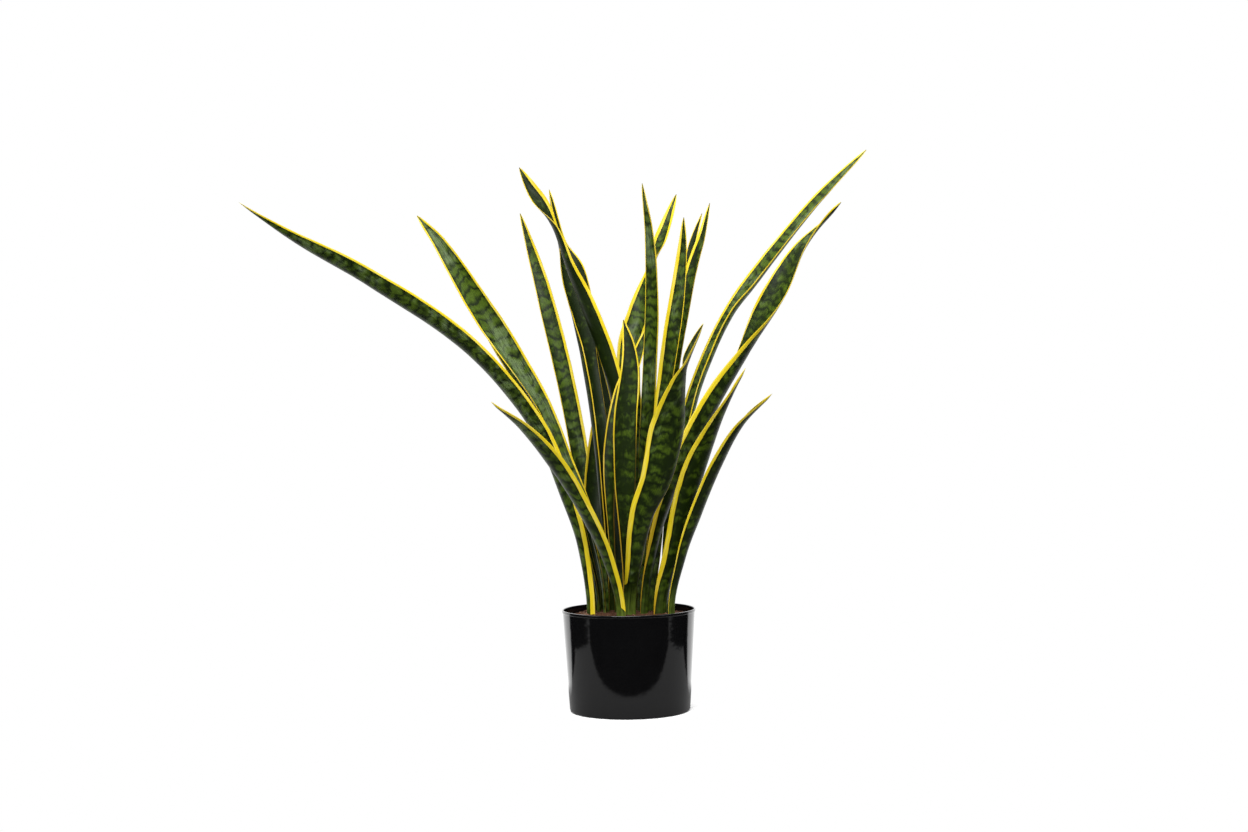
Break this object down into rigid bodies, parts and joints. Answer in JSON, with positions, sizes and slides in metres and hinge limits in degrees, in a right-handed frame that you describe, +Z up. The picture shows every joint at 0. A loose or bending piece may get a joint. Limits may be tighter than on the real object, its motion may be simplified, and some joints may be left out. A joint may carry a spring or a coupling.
{
  "type": "potted snake plant",
  "caption": "Snake plant with tall upright and arching sword-shaped leaves, dark green with yellow margins, rooted in soil in a plain round tapered nursery pot.",
  "frame": {"origin": "centre of the pot's flat underside, on the surface that the pot stands on", "axes": "+Z up along the pot's axis; the plant's front faces -Y, and +X is to the right as seen from the front"},
  "size_m": [0.7984, 0.3403, 0.7287],
  "materials": {
    "pot_plastic": "gloss",
    "soil": "matte",
    "variegated_leaf": "satin"
  },
  "bodies": {
    "root": {"pot": "pot_plastic", "potting_soil": "soil", "leaf_01": "variegated_leaf", "leaf_02": "variegated_leaf", "leaf_03": "variegated_leaf", "leaf_04": "variegated_leaf", "leaf_05": "variegated_leaf", "leaf_06": "variegated_leaf", "leaf_07": "variegated_leaf", "leaf_08": "variegated_leaf", "leaf_09": "variegated_leaf", "leaf_10": "variegated_leaf", "leaf_11": "variegated_leaf", "leaf_12": "variegated_leaf", "leaf_13": "variegated_leaf", "leaf_14": "variegated_leaf", "leaf_15": "variegated_leaf", "leaf_16": "variegated_leaf", "leaf_17": "variegated_leaf", "leaf_18": "variegated_leaf", "leaf_19": "variegated_leaf", "leaf_20": "variegated_leaf", "leaf_21": "variegated_leaf"}
  },
  "joints": []
}
